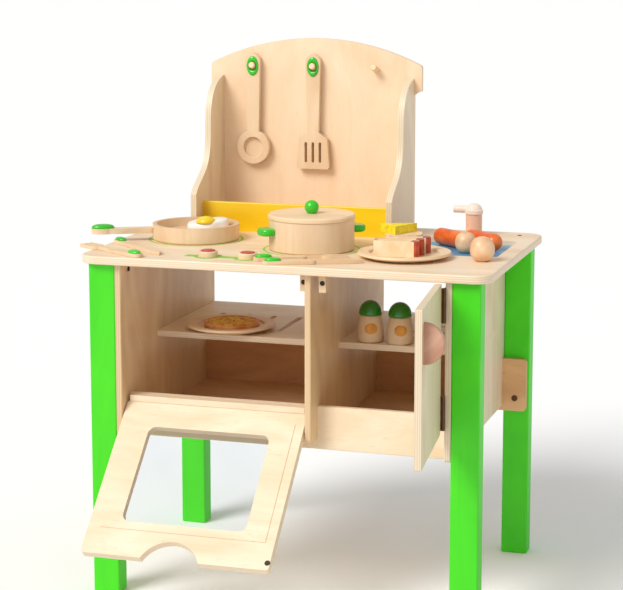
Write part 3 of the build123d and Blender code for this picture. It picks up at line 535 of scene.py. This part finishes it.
def egg_white_sheet(bm):
    """The white as rows from its underside edge, over its rim, to its middle."""
    half = (egg_hi - egg_lo) / 2
    rim = ((0.90, 0.0), (0.90, 0.3), (0.895, 0.7), (0.86, 0.93))
    inside = ((0.78, 1.0), (0.6, 1.04), (0.4, 1.06), (0.15, 1.06))
    rows = []
    for share, edge in rim + inside:
        row = []
        for i in range(72):
            a = 2 * math.pi * i / 72
            r = share * egg_outline(a) / 1.06
            x = egg_mid.x + half.x * r * math.cos(a)
            y = egg_mid.y + half.y * r * math.sin(a)
            rise = egg_height(x, y) - egg_lo.z
            row.append(bm.verts.new((x, y, egg_lo.z + 0.0004 + max(rise, 0.004) * edge)))
        rows.append(row)
    bridge(bm, rows)
    close_ends(bm, rows)


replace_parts(piece("egg_white_sheet", egg_white_sheet, egg_white, "fried_egg"), "fried_egg")


def yolk(bm):
    yolk_r, foot_high, dome_high = 0.0150, 0.001, 0.0090
    mid = Vector((yolk_spot.x, yolk_spot.y, egg_height(yolk_spot.x, yolk_spot.y) - 0.001))
    profile = [(yolk_r, 0), (yolk_r, foot_high)]
    for i in range(1, 10):
        a = math.pi / 2 * i / 10
        profile.append((yolk_r * math.cos(a), foot_high + dome_high * math.sin(a)))
    lathe(bm, mid, profile)


piece("egg_yolk", yolk, yolk_mat, "fried_egg")


def pizza_topping(bm):
    lo, hi = (Vector(v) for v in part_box("pizza"))
    mid = (lo + hi) / 2
    r, z = (hi.x - lo.x) / 2 - 0.006, hi.z - 0.0016
    steps, rings_count = 72, 20
    rows = []
    for k in range(rings_count + 1):
        row = []
        for i in range(steps):
            a = 2 * math.pi * i / steps
            rr = r * (1 - k / rings_count) * (1 + 0.012 * math.sin(7 * a))
            wave = math.sin(410 * rr * math.cos(a) + 3 * math.sin(290 * rr * math.sin(a)))
            lump = 0.0016 * (0.5 + 0.5 * wave)
            lift = 0 if k == 0 else 0.0008 + lump
            out = max(rr, 0.0004)
            row.append(bm.verts.new((mid.x + out * math.cos(a), mid.y + out * math.sin(a), z + lift)))
        rows.append(row)
    bridge(bm, rows)
    close_ends(bm, rows)


piece("pizza_topping", pizza_topping, topping, "pizza")

# dark crusts on the outer ends of the cake slices
plate_mid = centre("serving_plate")
cake_lo, cake_hi = (Vector(v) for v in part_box("cake_slices"))
slice_lay = ((0.006, 0.011, 24), (0.001, -0.008, 17), (-0.001, -0.027, 10))
for i, (dx, dy, turn) in enumerate(slice_lay):

    def crust_block(bm, dx=dx, dy=dy, turn=turn):
        a = math.radians(turn)
        run = Vector((math.cos(a), math.sin(a), 0))
        side = Z.cross(run)
        origin = Vector((plate_mid.x + dx, plate_mid.y + dy, 0))
        near_edge = ((0.0165, -0.0045), (0.0240, -0.0064), (0.0284, -0.0043))
        far_edge = ((0.0284, 0.0073), (0.0240, 0.0084), (0.0190, 0.0080))
        low, up = [], []
        for u, v in near_edge + far_edge:
            p = origin + run * u + side * v
            low.append(bm.verts.new((p.x, p.y, cake_lo.z + 0.0002)))
            up.append(bm.verts.new((p.x, p.y, cake_hi.z + 0.0004)))
        close_ends(bm, [low, up])
        bridge(bm, [low, up])

    piece(f"cake_crust_{i}", crust_block, cake_crust, "cake_slices", smooth=False)

# small screws in the left panel and in the worktop
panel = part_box("left_side_panel")
button("panel_screw", Vector((panel[1][0], -0.160, 0.477)), 0.0036, 0.002, dark_metal, "kitchen", axis=X)
button("worktop_screw", Vector((0.267, 0.169, table_z)), 0.0034, 0.0006, dark_metal, "kitchen")

# ------------------------------------------------------------ floor, light, camera
reach = 80  # the floor fills the view to the horizon
floor_mesh = bpy.data.meshes.new("floor")
corners = [(-reach, -reach, 0), (reach, -reach, 0), (reach, reach, 0), (-reach, reach, 0)]
floor_mesh.from_pydata(corners, [], [(0, 1, 2, 3)])
floor = bpy.data.objects.new("floor", floor_mesh)
scene.collection.objects.link(floor)
floor_mat = bpy.data.materials.new("white floor")
floor_mat.use_nodes = True
floor_shader = floor_mat.node_tree.nodes["Principled BSDF"]
floor_shader.inputs["Base Color"].default_value = (0.97, 0.97, 0.97, 1)
floor_shader.inputs["Roughness"].default_value = 0.9
floor_mesh.materials.append(floor_mat)

world = bpy.data.worlds.new("studio")
world.use_nodes = True
background = world.node_tree.nodes["Background"]
background.inputs["Color"].default_value = (1.0, 1.0, 1.0, 1)
background.inputs["Strength"].default_value = 0.56
scene.world = world

sun_data = bpy.data.lights.new("window light", "SUN")
sun_data.energy = 2.35
sun_data.angle = math.radians(28)
sun_data.color = (1.0, 0.985, 0.96)
sun = bpy.data.objects.new("window light", sun_data)
sun.rotation_mode = "QUATERNION"
sun.rotation_quaternion = Vector((0.40, 0.62, -0.68)).to_track_quat("-Z", "Y")
scene.collection.objects.link(sun)

camera = bpy.data.objects.new("camera", bpy.data.cameras.new("camera"))
camera.location = (0.81429, -2.64781, 0.93836)
camera.rotation_euler = (1.4198, 0, 0.30015)
camera.data.sensor_width = 36
camera.data.lens = 109.75642
camera.data.shift_x = -0.0064
camera.data.shift_y = -0.1
camera.data.clip_end = 50
scene.collection.objects.link(camera)
scene.camera = camera
